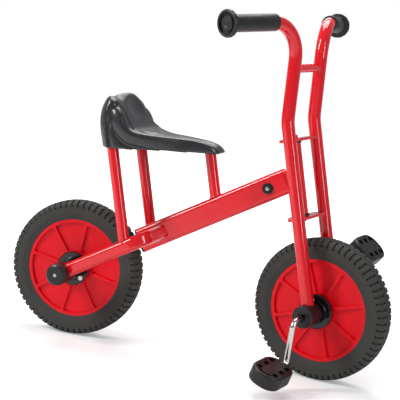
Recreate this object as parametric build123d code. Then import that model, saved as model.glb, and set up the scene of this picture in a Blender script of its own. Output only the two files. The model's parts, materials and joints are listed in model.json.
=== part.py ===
"""Child's bicycle with cranks on the front wheel, a sloping main beam and a bucket saddle.

Millimetres and degrees.  +X is forward, +Y is the rider's left, +Z is up.  The pieces are
laid out from the point on the floor under the rear axle, and written with their origin
at the place where the rider sits.  The front assembly is laid out about its own steering
axis and then turned to the angle at which it rests.
"""
import math
import os

from build123d import *

# ---------------------------------------------------------------- driving dimensions
WHEEL_RADIUS = 156.0
TYRE_WIDTH = 56.0
WHEELBASE = 580.0
HEAD_ANGLE = 13.2            # steering axis and saddle posts, leaning back from the vertical
FORK_OFFSET = 23.5           # front axle ahead of the steering axis
REST_STEER = 14.7            # how far to the right the front wheel rests
BEAM_SLOPE = 29.6            # beam and rear stays, rising forward from the rear axle

# tyres
TYRE_BEAD = 3.0              # radial height of the bevel beside the disc
TYRE_BEAD_SPREAD = 1.5
TYRE_WALL_HEIGHT = 14.0      # straight part of the side wall, under the shoulder
TYRE_WALL_DRAFT = 0.5
TYRE_SHOULDER = 9.0          # drop from the crown to the widest place
TYRE_EDGE = (6.0, 3.0)       # shoulder corner: in from the side, down from the crown
TYRE_CROWN_EDGE = 14.0       # crown's edge, in from the side
TREAD_GROOVE = 3.0
TREAD_GROOVE_SPAN = (2.0, 7.0)
TREAD_GROOVE_SLOPE = 1.0

# wheel discs
DISC_RADIUS = 112.5
DISC_WIDTH = 44.0
DISC_LIP = 7.0
DISC_PANEL_DEPTH = 6.0
RIB_COUNT = 8
RIB_ROOT = 9.0
RIB_TIP = 4.0
FRONT_RIB_ANGLE = 4.5
REAR_RIB_ANGLE = -11.5
PANEL_ROOT = 40.0            # inner radius of the recessed panels
PANEL_CORNER = 5.0

# hub flanges
FLANGE_RADIUS = 38.5
FLANGE_FACE = 34.0           # outer face of a hub flange from the wheel's middle
FLANGE_THICKNESS = 6.0
FLANGE_STEP = 5.0            # how far the flange stands out beyond its boss
FLANGE_CHAMFER = 2.0
NECK_RADIUS = 27.0
NECK_LENGTH = 5.0
NECK_TAPER = 2.0

# bearing housings
HOUSING_RADIUS = 24.0
HOUSING_LENGTH = 50.0
HOUSING_OVERHANG = 32.0      # outer face of a housing beyond the middle of the tube it carries
HOUSING_ROUND = 2.0
HOUSING_MOUTH = (10.0, 5.0)  # radius and depth of the mouth that the crank leaves through
SPACER_RADIUS = 16.0
CAP_THICKNESS = 6.0
CAP_RADIUS = 23.0
CAP_BEVEL = (4.0, 3.0)

# crank and pedals
CRANK_ROD = 12.0
CRANK_RADIUS = 99.0
CRANK_ANGLE = 17.5           # right arm behind straight down
CRANK_OUT = 134.0            # middle of a crank arm from the wheel's middle
CRANK_BEND = 17.0
PEDAL_LENGTH = 98.0
PEDAL_WIDTH = 70.0
PEDAL_THICKNESS = 31.0
PEDAL_CORNER = 31.0
PEDAL_EDGE = 5.0
PEDAL_TO_BEND = 1.0          # inner end of a pedal past the bend of its arm
PEDAL_PIN_END = 14.0         # how far the crank's pin stops inside the outer end of its pedal
PEDAL_TILTS = {"right": 32.0, "left": 52.0}
PEDAL_HOLE = (15.0, 12.0)    # along and across the pedal
PEDAL_HOLE_DEPTH = 8.0
PEDAL_HOLE_PITCH = 26.0
PEDAL_HOLE_ROWS = 38.0
PEDAL_SLOT_WIDTH = 5.0
PEDAL_SLOT_DEPTH = 6.0
PEDAL_SLOT_INSET = 8.0       # middle of the curved slot, in from the outer end
PEDAL_SLOT_ARC = 76.0        # degrees

# fork and handlebar
FORK_TUBE = 28.0
FORK_HALF_SPACING = 63.5
KINK_HEIGHT = 413.0
KINK_RADIUS = 90.0
UPPER_LEAN = 14.3            # upper tubes, leaning forward of the lower ones
CORNER_HEIGHT = 616.0
CORNER_HALF_SPACING = 60.0
CORNER_RADIUS = 72.0
GRIP_SWEEP = 17.0
GRIP_RISE = 0.8
GRIP_START = 129.0           # inner end of a grip from the middle of the bicycle
GRIP_LENGTH = 137.0
GRIP_RADIUS = 18.0
GRIP_INNER_ROUND = 3.0
GRIP_NECK = 3.0              # swelling of the grip where it meets its flange
GRIP_FLANGE_RADIUS = 28.0
GRIP_FLANGE_THICKNESS = 9.0
GRIP_FLANGE_ROUND = 2.5
GRIP_END_WALL = 4.0
GRIP_FIT = 0.15              # grip's bore over its tube, on the radius
CROSSBAR = 18.0
CROSSBAR_HEIGHT = 521.0

# steering head
PLATE_THICKNESS = 6.0
PLATE_HEIGHTS = {"lower": 203.0, "upper": 372.0}
PLATE_FRONT = 32.0
PLATE_REAR = 20.0            # rear edge, behind the steering axis
PLATE_REAR_HALF_WIDTH = 24.0
PLATE_SIDE_REAR = 2.0        # rear end of the sides, where they meet the fork tubes
PLATE_CORNER = 6.0
HEAD_TUBE = 30.0
HEAD_BORE = 20.0
BUSHING_RADIUS = 17.0
BUSHING_FLANGE = 4.0
BUSHING_DEPTH = 12.0
PIN_DIAMETER = 12.0
PIN_HEAD_RADIUS = 10.0
PIN_HEAD_HEIGHT = 7.0
NUT_SIDES = 6

# beam and stub
BEAM_HEIGHT = 56.0
BEAM_WIDTH = 36.0
BEAM_CORNER = 10.0
BEAM_WALL = 3.0
BEAM_START = 174.0           # rear end of the beam from the rear axle, along the slope
BEAM_TO_HEAD = 25.0          # front end of the beam short of the steering axis
PLUG_FLANGE = 4.0
PLUG_DEPTH = 20.0
STUB_LENGTH = 110.0
STUB_BOLT = 8.0
STUB_BOLT_FROM_HEAD = 67.0
BOLT_CAP_RADIUS = 12.0
BOLT_CAP_THICKNESS = 5.0
BOLT_CAP_BEVEL = 1.5

# rear stays and saddle posts
STAY_HEIGHT = 32.0
STAY_WIDTH = 26.0
STAY_CORNER = 10.0
STAY_HALF_SPACING = 91.0
STAY_BEND_START = 174.0
STAY_BEND_RADIUS = 42.0
STAY_BEND_ANGLE = 70.0
POST_DIAMETER = 25.0
REAR_POST_FOOT = 164.3       # along the slope from the rear axle
FRONT_POST_FOOT = 366.0
POST_IN_SADDLE = 18.0        # how far a post goes up into its socket

# saddle
SADDLE_TOP = 487.0           # height of the seat above the floor
SADDLE_SEAT_X = 225.0        # where the rider sits
SADDLE_BACK = 42.0
SADDLE_NOSE = 317.0
SADDLE_RIM_REAR = 449.0
SADDLE_RIM_FRONT = 461.0
SADDLE_WALL = 5.0
SADDLE_SHOULDER = 0.5        # height of the straight sides, as a share of the section's height
SOCKET_WALL = 4.5
# sections across the saddle, from the back to the nose:
# distance forward, half width, height of the wings, height of the middle, wings' share of the half width
SADDLE_STATIONS = (
    (15.0, 110.0, 560.0, 571.0, 0.58),
    (60.0, 110.0, 560.0, 571.0, 0.58),
    (100.0, 111.0, 543.0, 553.0, 0.60),
    (140.0, 107.0, 496.0, 497.0, 0.68),
    (175.0, 95.0, 487.0, SADDLE_TOP, 0.70),
    (SADDLE_SEAT_X, 69.0, 486.5, SADDLE_TOP, 0.70),
    (270.0, 49.0, 484.0, 485.5, 0.70),
    (303.0, 37.0, 477.0, 480.0, 0.68),
    (SADDLE_NOSE, 26.0, 465.0, 468.0, 0.66),
)
# the backrest from the side: up its back, down its front and on over the seat
BACKREST_SIDE = (
    (52.0, 420.0), (43.0, 488.0), (45.0, 520.0), (55.0, 548.0), (68.0, 565.0), (81.0, 570.5), (94.0, 561.0),
    (106.0, 538.0), (120.0, 510.0), (136.0, 494.0), (157.0, 489.5), (185.0, 489.0),
)
# the backrest from above: ellipses about one upright line, as height, half length and half width
BACKREST_CENTRE = 112.0
BACKREST_LEVELS = ((430.0, 60.0, 120.0), (470.0, 68.0, 124.0), (512.0, 76.0, 127.0), (545.0, 70.0, 124.0),
                   (578.0, 46.0, 116.0))
BOWL_CENTRE = (186.0, 0.0, 583.0)
BOWL_RADIUS = 96.0
BOWL_STRETCH = (1.03, 1.5, 1.0)

# clearances
SPIN_GAP = 0.06              # shaft in a running bore, on the radius
SEAT_GAP = 0.3               # faces of moving pieces that lie beside each other
RUN_GAP = 0.5                # end play of a wheel between its housings
SLIP_FIT = 0.2               # fixed pieces that slide into one another
BEYOND = 1000.0              # longer than any piece: for cutting right through

# ---------------------------------------------------------------- derived places
LEAN = math.radians(HEAD_ANGLE)
SLOPE = math.radians(BEAM_SLOPE)
SWEEP = math.radians(GRIP_SWEEP)
RISE = math.radians(GRIP_RISE)
SIDES = {"left": 1, "right": -1}
AXIS_DIRECTION = Vector(-math.sin(LEAN), 0, math.cos(LEAN))
ACROSS_AXIS = Vector(math.cos(LEAN), 0, math.sin(LEAN))
SLOPE_DIRECTION = Vector(math.cos(SLOPE), 0, math.sin(SLOPE))
ABOVE_SLOPE = Vector(-math.sin(SLOPE), 0, math.cos(SLOPE))
REAR_AXLE = Vector(0, 0, WHEEL_RADIUS)
FRONT_AXLE = Vector(WHEELBASE, 0, WHEEL_RADIUS)
AXIS_FOOT = FRONT_AXLE - ACROSS_AXIS * FORK_OFFSET
SEAT_POINT = Vector(SADDLE_SEAT_X, 0, SADDLE_TOP)

REAR_WHEEL_PLACE = Pos(REAR_AXLE)
FRAME_PLACE = Plane(origin=REAR_AXLE, x_dir=SLOPE_DIRECTION, z_dir=ABOVE_SLOPE).location
HEAD_PLACE = Plane(origin=AXIS_FOOT, x_dir=ACROSS_AXIS, z_dir=AXIS_DIRECTION).location
STEER_PLACE = HEAD_PLACE * Rot(0, 0, -REST_STEER)
FRONT_WHEEL_PLACE = STEER_PLACE * Pos(FORK_OFFSET, 0, 0)


def slope_to_axis():
    """Distance along the slope, from the rear axle, at which it meets the steering axis."""
    run = AXIS_FOOT - REAR_AXLE
    across = SLOPE_DIRECTION.X * AXIS_DIRECTION.Z - SLOPE_DIRECTION.Z * AXIS_DIRECTION.X
    return (run.X * AXIS_DIRECTION.Z - run.Z * AXIS_DIRECTION.X) / across


HEAD_ALONG = slope_to_axis()
BEAM_END = HEAD_ALONG - BEAM_TO_HEAD
STUB_BOLT_ALONG = HEAD_ALONG - STUB_BOLT_FROM_HEAD
HEAD_MIDDLE = (PLATE_HEIGHTS["upper"] + PLATE_HEIGHTS["lower"]) / 2
PLATE_GAP = PLATE_HEIGHTS["upper"] - PLATE_HEIGHTS["lower"] - PLATE_THICKNESS
HEAD_TUBE_LENGTH = PLATE_GAP - 2 * (BUSHING_FLANGE + SEAT_GAP)
FRONT_HOUSING_FACE = FORK_HALF_SPACING + HOUSING_OVERHANG
REAR_HOUSING_FACE = STAY_HALF_SPACING + HOUSING_OVERHANG
RUNNING_BORE = CRANK_ROD / 2 + SPIN_GAP
PEDAL_MIDDLE = CRANK_OUT + CRANK_BEND + PEDAL_TO_BEND + PEDAL_LENGTH / 2


# ---------------------------------------------------------------- helpers
def write(name, shape):
    """Write one piece, moved so that the origin is where the rider sits."""
    placed = Pos(-SEAT_POINT) * shape
    placed.label = name
    export_step(placed, f"parts/{name}.step")


def cylinder_y(radius, start, end):
    """A cylinder about the Y axis between two places on it."""
    low = min(start, end)
    high = max(start, end)
    return Pos(0, (low + high) / 2, 0) * Rot(90, 0, 0) * Cylinder(radius, high - low)


def turned_y(profile):
    """A profile of (radius, y) points turned about the Y axis."""
    corners = [(radius, y, 0) for radius, y in profile]
    return revolve(make_face(Polyline(*corners, close=True)), Axis.Y, 360)


def tube_along(path, diameter):
    """A round bar swept along a path."""
    return sweep(Plane(origin=path @ 0, z_dir=path % 0) * Circle(diameter / 2), path)


def largest(shape):
    """The biggest solid of a cut shape."""
    return max(shape.solids(), key=lambda solid: solid.volume)


# ---------------------------------------------------------------- wheels
def tyre():
    """Solid rubber tyre with square shoulders and two grooves round the crown."""
    seat = DISC_WIDTH / 2
    half = TYRE_WIDTH / 2
    crown = WHEEL_RADIUS
    side = crown - TYRE_SHOULDER
    corner_in, corner_down = TYRE_EDGE
    near, far = TREAD_GROOVE_SPAN
    floor = crown - TREAD_GROOVE
    half_profile = [
        (DISC_RADIUS, seat),
        (DISC_RADIUS + TYRE_BEAD, seat + TYRE_BEAD_SPREAD),
        (side - TYRE_WALL_HEIGHT, half - TYRE_WALL_DRAFT),
        (side, half),
        (crown - corner_down, half - corner_in),
        (crown, half - TYRE_CROWN_EDGE),
        (crown, far),
        (floor, far - TREAD_GROOVE_SLOPE),
        (floor, near + TREAD_GROOVE_SLOPE),
        (crown, near),
    ]
    other_half = [(radius, -y) for radius, y in reversed(half_profile)]
    return turned_y(half_profile + other_half)


def panel_outline():
    """One recessed panel between two ribs, drawn with X along the first rib."""
    turn = 2 * math.pi / RIB_COUNT
    outer = DISC_RADIUS - DISC_LIP
    root_angle = math.asin(RIB_ROOT / 2 / PANEL_ROOT)
    tip_angle = math.asin(RIB_TIP / 2 / outer)

    def at(radius, angle):
        return (radius * math.cos(angle), radius * math.sin(angle))

    turned = turn - root_angle
    first_rib = Line(at(PANEL_ROOT, root_angle), at(outer, tip_angle))
    rim = ThreePointArc(at(outer, tip_angle), at(outer, turn / 2), at(outer, turn - tip_angle))
    second_rib = Line(at(outer, turn - tip_angle), at(PANEL_ROOT, turned))
    hub = ThreePointArc(at(PANEL_ROOT, turned), at(PANEL_ROOT, turn / 2), at(PANEL_ROOT, root_angle))
    face = make_face([first_rib, rim, second_rib, hub])
    return fillet(face.vertices(), PANEL_CORNER)


def wheel_disc(rib_angle):
    """Moulded disc: rim lip, recessed panels on both sides and tapered ribs between them."""
    half = DISC_WIDTH / 2
    disc = cylinder_y(DISC_RADIUS, -half, half) - cylinder_y(CRANK_ROD / 2, -half, half)
    pocket = Rot(90, 0, 0) * extrude(panel_outline(), DISC_PANEL_DEPTH, both=True)
    for number in range(RIB_COUNT):
        turned = Rot(0, -(rib_angle + number * 360 / RIB_COUNT), 0) * pocket
        for side in SIDES.values():
            disc -= Pos(0, side * half, 0) * turned
    return disc


def hub_flange(side):
    """Hub flange with its stepped neck, on one side of a wheel."""
    bore = CRANK_ROD / 2
    profile = [
        (bore, DISC_WIDTH / 2),
        (FLANGE_RADIUS - FLANGE_STEP, DISC_WIDTH / 2),
        (FLANGE_RADIUS - FLANGE_STEP, FLANGE_FACE - FLANGE_THICKNESS),
        (FLANGE_RADIUS, FLANGE_FACE - FLANGE_THICKNESS),
        (FLANGE_RADIUS, FLANGE_FACE - FLANGE_CHAMFER),
        (FLANGE_RADIUS - FLANGE_CHAMFER, FLANGE_FACE),
        (NECK_RADIUS, FLANGE_FACE),
        (NECK_RADIUS - NECK_TAPER, FLANGE_FACE + NECK_LENGTH),
        (bore, FLANGE_FACE + NECK_LENGTH),
    ]
    return turned_y([(radius, side * y) for radius, y in profile])


# ---------------------------------------------------------------- axles and their housings
def housing(side, face, mouth):
    """Barrel that an axle runs in, with a wider mouth in its outer face where a crank leaves."""
    barrel = cylinder_y(HOUSING_RADIUS, side * (face - HOUSING_LENGTH), side * face)
    barrel = fillet(barrel.edges().filter_by(GeomType.CIRCLE), HOUSING_ROUND)
    barrel -= cylinder_y(RUNNING_BORE, 0, side * BEYOND)
    if mouth:
        mouth_radius, mouth_depth = HOUSING_MOUTH
        barrel -= cylinder_y(mouth_radius, side * (face - mouth_depth), side * BEYOND)
    return barrel


def rear_spacer(side):
    """Sleeve on the rear axle between the hub and its housing."""
    start = side * (FLANGE_FACE + NECK_LENGTH)
    end = side * (REAR_HOUSING_FACE - HOUSING_LENGTH - RUN_GAP)
    return cylinder_y(SPACER_RADIUS, start, end) - cylinder_y(CRANK_ROD / 2, start, end)


def rear_axle():
    """Axle that turns with the rear wheel, just short of the caps."""
    end = REAR_HOUSING_FACE - SEAT_GAP
    return cylinder_y(CRANK_ROD / 2, -end, end)


def axle_cap(side):
    """Round cap on the outer face of a rear housing."""
    bevel_in, bevel_down = CAP_BEVEL
    profile = [
        (0, REAR_HOUSING_FACE),
        (CAP_RADIUS, REAR_HOUSING_FACE),
        (CAP_RADIUS, REAR_HOUSING_FACE + CAP_THICKNESS - bevel_down),
        (CAP_RADIUS - bevel_in, REAR_HOUSING_FACE + CAP_THICKNESS),
        (0, REAR_HOUSING_FACE + CAP_THICKNESS),
    ]
    return turned_y([(radius, side * y) for radius, y in profile])


# ---------------------------------------------------------------- crank and pedals
def arm_end(name):
    """Place of a pedal's pin in the wheel's plane, from the axle."""
    angle = math.radians(CRANK_ANGLE)
    right = Vector(-math.sin(angle), 0, -math.cos(angle)) * CRANK_RADIUS
    return right * -SIDES[name]


def crank():
    """One bent rod: pedal pin, arm, axle, arm, pedal pin."""
    pin_end = PEDAL_MIDDLE + PEDAL_LENGTH / 2 - PEDAL_PIN_END
    right = arm_end("right")
    left = arm_end("left")
    path = FilletPolyline(
        Vector(right.X, -pin_end, right.Z),
        Vector(right.X, -CRANK_OUT, right.Z),
        Vector(0, -CRANK_OUT, 0),
        Vector(0, CRANK_OUT, 0),
        Vector(left.X, CRANK_OUT, left.Z),
        Vector(left.X, pin_end, left.Z),
        radius=CRANK_BEND,
    )
    return tube_along(path, CRANK_ROD)


def pedal(side):
    """Rubber pedal block, closed at its outer end, with hollows and a curved slot in each tread face."""
    body = Box(PEDAL_WIDTH, PEDAL_LENGTH, PEDAL_THICKNESS)
    body = fillet(body.edges().filter_by(Axis.Z), PEDAL_CORNER)
    treads = body.faces().filter_by(Axis.Z)
    body = fillet(treads.edges(), PEDAL_EDGE)
    body -= cylinder_y(RUNNING_BORE, -side * PEDAL_LENGTH, side * (PEDAL_LENGTH / 2 - PEDAL_PIN_END + SEAT_GAP))
    hollow = Rot(0, 0, 90) * extrude(SlotOverall(*PEDAL_HOLE), PEDAL_HOLE_DEPTH, both=True)
    slot_radius = PEDAL_CORNER - PEDAL_SLOT_INSET
    slot_centre = (0, side * (PEDAL_LENGTH / 2 - PEDAL_CORNER))
    arc = CenterArc(slot_centre, slot_radius, side * 90 - PEDAL_SLOT_ARC / 2, PEDAL_SLOT_ARC)
    slot = extrude(SlotArc(arc, PEDAL_SLOT_WIDTH), PEDAL_SLOT_DEPTH, both=True)
    for tread in (-1, 1):
        face = Pos(0, 0, tread * PEDAL_THICKNESS / 2)
        body -= face * slot
        for row in (-1, 1):
            for step in (-1, 0, 1):
                body -= face * Pos(row * PEDAL_HOLE_ROWS / 2, step * PEDAL_HOLE_PITCH, 0) * hollow
    return body


def pedal_place(name):
    """Where a pedal rests about its pin, from the front axle."""
    pin = arm_end(name)
    return Pos(pin.X, SIDES[name] * PEDAL_MIDDLE, pin.Z) * Rot(0, PEDAL_TILTS[name], 0)


# ---------------------------------------------------------------- fork and handlebar
def upper_tube_forward(height):
    """How far an upper tube stands ahead of the steering axis, at a height on it."""
    return FORK_OFFSET + math.tan(math.radians(UPPER_LEAN)) * (height - KINK_HEIGHT)


def grip_direction(side):
    """Unit vector along a grip, outward."""
    level = math.cos(RISE)
    return Vector(-math.sin(SWEEP) * level, side * math.cos(SWEEP) * level, math.sin(RISE))


def corner_point(side):
    """Where the lines of an upper tube and its grip meet."""
    return Vector(upper_tube_forward(CORNER_HEIGHT), side * CORNER_HALF_SPACING, CORNER_HEIGHT)


def grip_point(side, along):
    """A point on a grip's centre line, at a distance past its inner end."""
    direction = grip_direction(side)
    reach = (GRIP_START - CORNER_HALF_SPACING) / abs(direction.Y)
    return corner_point(side) + direction * (reach + along)


def fork_tube(side):
    """One fork leg that runs on up to its grip, coped on to its bearing housing."""
    path = FilletPolyline(
        Vector(FORK_OFFSET, side * FORK_HALF_SPACING, 0),
        Vector(FORK_OFFSET, side * FORK_HALF_SPACING, KINK_HEIGHT),
        corner_point(side),
        grip_point(side, GRIP_LENGTH - GRIP_END_WALL),
        radius=[KINK_RADIUS, CORNER_RADIUS],
    )
    return tube_along(path, FORK_TUBE) - Pos(FORK_OFFSET, 0, 0) * cylinder_y(HOUSING_RADIUS, 0, side * BEYOND)


def crossbar():
    """Tie between the upper tubes, coped to both."""
    place = Pos(upper_tube_forward(CROSSBAR_HEIGHT), 0, CROSSBAR_HEIGHT)
    bar = place * cylinder_y(CROSSBAR / 2, -FORK_HALF_SPACING, FORK_HALF_SPACING)
    for side in SIDES.values():
        bar -= fork_tube(side)
    return largest(bar)


def grip(side):
    """Rubber sleeve with a rounded inner end, and a broad flange at the closed outer end."""
    bore = FORK_TUBE / 2 + GRIP_FIT
    flange_start = GRIP_LENGTH - GRIP_FLANGE_THICKNESS
    profile = [
        (bore, 0),
        (GRIP_RADIUS - GRIP_INNER_ROUND, 0),
        (GRIP_RADIUS, GRIP_INNER_ROUND),
        (GRIP_RADIUS, flange_start - GRIP_NECK),
        (GRIP_RADIUS + GRIP_NECK, flange_start),
        (GRIP_FLANGE_RADIUS - GRIP_FLANGE_ROUND, flange_start),
        (GRIP_FLANGE_RADIUS, flange_start + GRIP_FLANGE_ROUND),
        (GRIP_FLANGE_RADIUS, GRIP_LENGTH - GRIP_FLANGE_ROUND),
        (GRIP_FLANGE_RADIUS - GRIP_FLANGE_ROUND, GRIP_LENGTH),
        (0, GRIP_LENGTH),
        (0, GRIP_LENGTH - GRIP_END_WALL),
        (bore, GRIP_LENGTH - GRIP_END_WALL),
    ]
    direction = grip_direction(side)
    across = Vector(0, 0, 1).cross(direction).normalized()
    place = Plane(origin=grip_point(side, 0), x_dir=across, z_dir=across.cross(direction))
    return place.location * turned_y(profile)


def steering_plate(height):
    """Yoke plate between the fork tubes, drawn in towards the steering pin at its rear."""
    outline = Polyline(
        (PLATE_FRONT, -FORK_HALF_SPACING),
        (PLATE_FRONT, FORK_HALF_SPACING),
        (-PLATE_SIDE_REAR, FORK_HALF_SPACING),
        (-PLATE_REAR, PLATE_REAR_HALF_WIDTH),
        (-PLATE_REAR, -PLATE_REAR_HALF_WIDTH),
        (-PLATE_SIDE_REAR, -FORK_HALF_SPACING),
        close=True,
    )
    plate = extrude(make_face(outline), PLATE_THICKNESS / 2, both=True)
    plate = fillet(plate.edges().filter_by(Axis.Z), PLATE_CORNER)
    plate -= Cylinder(PIN_DIAMETER / 2, 2 * PLATE_THICKNESS)
    for side in SIDES.values():
        plate -= Pos(FORK_OFFSET, side * FORK_HALF_SPACING, 0) * Cylinder(FORK_TUBE / 2, 2 * PLATE_THICKNESS)
    return Pos(0, 0, height) * largest(plate)


def steering_pin():
    """Pin through both plates and the head tube, with a round head above and a nut below."""
    low = PLATE_HEIGHTS["lower"] - PLATE_THICKNESS / 2
    high = PLATE_HEIGHTS["upper"] + PLATE_THICKNESS / 2
    shank = Pos(0, 0, (low + high) / 2) * Cylinder(PIN_DIAMETER / 2, high - low)
    head = Pos(0, 0, high + PIN_HEAD_HEIGHT / 2) * Cylinder(PIN_HEAD_RADIUS, PIN_HEAD_HEIGHT)
    nut = extrude(RegularPolygon(PIN_HEAD_RADIUS, NUT_SIDES), PIN_HEAD_HEIGHT)
    return shank + head + Pos(0, 0, low - PIN_HEAD_HEIGHT) * nut


# ---------------------------------------------------------------- beam and steering head
def slope_section(distance, height, width, corner):
    """Rounded section square to the slope, at a distance from the rear axle."""
    plane = Plane(origin=(distance, 0, 0), x_dir=(0, 1, 0), z_dir=(1, 0, 0))
    return plane * RectangleRounded(width, height, corner)


def beam_solid(start, length, inset):
    """A straight length of the beam's section, drawn in by an inset all round."""
    section = slope_section(start, BEAM_HEIGHT - 2 * inset, BEAM_WIDTH - 2 * inset, BEAM_CORNER - inset)
    return extrude(section, length)


def bolt_hole():
    """The hole for the stub's bolt."""
    return Pos(STUB_BOLT_ALONG, 0, 0) * cylinder_y(STUB_BOLT / 2, -BEYOND, BEYOND)


def main_beam():
    """Hollow beam, drilled for the stub's bolt."""
    length = BEAM_END - BEAM_START
    tube = beam_solid(BEAM_START, length, 0) - beam_solid(BEAM_START, length, BEAM_WALL)
    return FRAME_PLACE * (tube - bolt_hole())


def beam_plug():
    """Plastic plug that closes the beam's rear end."""
    flange = beam_solid(BEAM_START - PLUG_FLANGE, PLUG_FLANGE, 0)
    body = beam_solid(BEAM_START, PLUG_DEPTH, BEAM_WALL + SLIP_FIT)
    return FRAME_PLACE * (flange + body)


def head_tube():
    """Steering head, bored for its bushings."""
    tube = Cylinder(HEAD_TUBE / 2, HEAD_TUBE_LENGTH) - Cylinder(HEAD_BORE / 2, HEAD_TUBE_LENGTH)
    return HEAD_PLACE * Pos(0, 0, HEAD_MIDDLE) * tube


def head_stub():
    """Stub that slides in the beam and carries the head tube, coped to it."""
    stub = beam_solid(HEAD_ALONG - STUB_LENGTH, STUB_LENGTH, BEAM_WALL + SLIP_FIT) - bolt_hole()
    cope = HEAD_PLACE * Pos(0, 0, HEAD_MIDDLE) * Cylinder(HEAD_TUBE / 2, BEYOND)
    return largest(FRAME_PLACE * stub - cope)


def head_bushing(end):
    """Flanged bushing pressed into one end of the head tube."""
    flange = Pos(0, 0, BUSHING_FLANGE / 2) * Cylinder(BUSHING_RADIUS, BUSHING_FLANGE)
    sleeve = Pos(0, 0, -BUSHING_DEPTH / 2) * Cylinder(HEAD_BORE / 2, BUSHING_DEPTH)
    bushing = flange + sleeve - Cylinder(PIN_DIAMETER / 2 + SPIN_GAP, BEYOND)
    turn = Rot(0, 0, 0) if end > 0 else Rot(180, 0, 0)
    return HEAD_PLACE * Pos(0, 0, HEAD_MIDDLE + end * HEAD_TUBE_LENGTH / 2) * turn * bushing


def stub_bolt():
    """Bolt across the beam and stub."""
    bolt = cylinder_y(STUB_BOLT / 2, -BEAM_WIDTH / 2, BEAM_WIDTH / 2)
    return FRAME_PLACE * Pos(STUB_BOLT_ALONG, 0, 0) * bolt


def bolt_cap(side):
    """Round plastic cap over one end of the stub's bolt."""
    cap = cylinder_y(BOLT_CAP_RADIUS, side * BEAM_WIDTH / 2, side * (BEAM_WIDTH / 2 + BOLT_CAP_THICKNESS))
    outer_face = cap.faces().sort_by(Axis.Y)[-1 if side > 0 else 0]
    cap = chamfer(outer_face.edges(), BOLT_CAP_BEVEL)
    return FRAME_PLACE * Pos(STUB_BOLT_ALONG, 0, 0) * cap


# ---------------------------------------------------------------- rear stays and saddle posts
def rear_stay(side):
    """Rear stay: straight from its housing, then round a bend and in to the beam's side."""
    turn = math.radians(STAY_BEND_ANGLE)
    corner = STAY_BEND_START + STAY_BEND_RADIUS * math.tan(turn / 2)
    path = FilletPolyline(
        Vector(0, side * STAY_HALF_SPACING, 0),
        Vector(corner, side * STAY_HALF_SPACING, 0),
        Vector(corner + STAY_HALF_SPACING / math.tan(turn), 0, 0),
        radius=STAY_BEND_RADIUS,
    )
    section = Pos(0, side * STAY_HALF_SPACING, 0) * slope_section(0, STAY_HEIGHT, STAY_WIDTH, STAY_CORNER)
    tube = sweep(section, path)
    tube -= cylinder_y(HOUSING_RADIUS, 0, side * BEYOND)
    tube -= Box(2 * BEAM_END, BEAM_WIDTH, 2 * BEAM_HEIGHT)
    return FRAME_PLACE * largest(tube)


def post_places():
    """Foot of each saddle post, along the slope and to the left, by name."""
    places = {f"rear_{name}": (REAR_POST_FOOT, side * STAY_HALF_SPACING) for name, side in SIDES.items()}
    places["front"] = (FRONT_POST_FOOT, 0)
    return places


def post_bar(foot, left, diameter):
    """A bar along a post's line, from the line of its foot to above the saddle."""
    origin = REAR_AXLE + SLOPE_DIRECTION * foot + Vector(0, left, 0)
    return extrude(Plane(origin=origin, x_dir=(0, 1, 0), z_dir=AXIS_DIRECTION) * Circle(diameter / 2), BEYOND)


def rim_plane():
    """The plane that the saddle's rim lies in, facing up."""
    along = Vector(SADDLE_NOSE - SADDLE_BACK, 0, SADDLE_RIM_FRONT - SADDLE_RIM_REAR).normalized()
    return Plane(origin=(SADDLE_BACK, 0, SADDLE_RIM_REAR), x_dir=along, z_dir=along.cross(Vector(0, 1, 0)))


def below_rim(raised):
    """The space under the saddle's rim plane, or under a plane raised above it."""
    return rim_plane().location * Pos(0, 0, raised - BEYOND / 2) * Box(2 * BEYOND, BEYOND, BEYOND)


def seat_post(foot, left, carrier):
    """Saddle post parallel to the steering axis, from what carries it up into its socket."""
    tube = (post_bar(foot, left, POST_DIAMETER) - carrier) & below_rim(POST_IN_SADDLE)
    return max(tube.solids(), key=lambda solid: solid.center().Z)


# ---------------------------------------------------------------- saddle
def rim_height(x):
    """Height of the saddle's lower rim."""
    share = (x - SADDLE_BACK) / (SADDLE_NOSE - SADDLE_BACK)
    return SADDLE_RIM_REAR + (SADDLE_RIM_FRONT - SADDLE_RIM_REAR) * share


def saddle_section(x, half_width, wing, middle, wing_share, inset):
    """Upright section across the saddle: straight sides and a top with a wing at each side."""
    half = half_width - inset
    shoulder = rim_height(x) + SADDLE_SHOULDER * (wing - inset - rim_height(x))
    bottom = rim_height(x) - SADDLE_WALL if inset else rim_height(x)
    peak = half * wing_share
    top = Spline(
        (half, shoulder),
        (peak, wing - inset),
        (0, middle - inset),
        (-peak, wing - inset),
        (-half, shoulder),
        tangents=[(0, 1), (0, -1)],
    )
    sides = Polyline((-half, shoulder), (-half, bottom), (half, bottom), (half, shoulder))
    plane = Plane(origin=(x, 0, 0), x_dir=(0, 1, 0), z_dir=(1, 0, 0))
    return plane * make_face([top, *sides.edges()])


def drawn_in(points, inset):
    """Points of a line that runs clockwise round its solid, each moved inward by an inset."""
    moved = []
    for place, (x, z) in enumerate(points):
        before = Vector(points[max(place - 1, 0)])
        after = Vector(points[min(place + 1, len(points) - 1)])
        along = (after - before).normalized()
        moved.append((x + inset * along.Y, z - inset * along.X))
    return moved


def backrest_side(inset):
    """Everything inside the backrest's side view, drawn in by an inset."""
    points = drawn_in(BACKREST_SIDE, inset)
    floor = points[0][1]
    top = Spline(*points, tangents=[(-0.2, 1), (1, 0)])
    rest = Polyline(points[-1], (BEYOND, points[-1][1]), (BEYOND, floor), points[0])
    upright = Plane(origin=(0, 0, 0), x_dir=(1, 0, 0), z_dir=(0, -1, 0))
    return extrude(upright * make_face([top, *rest.edges()]), BEYOND, both=True)


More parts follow.
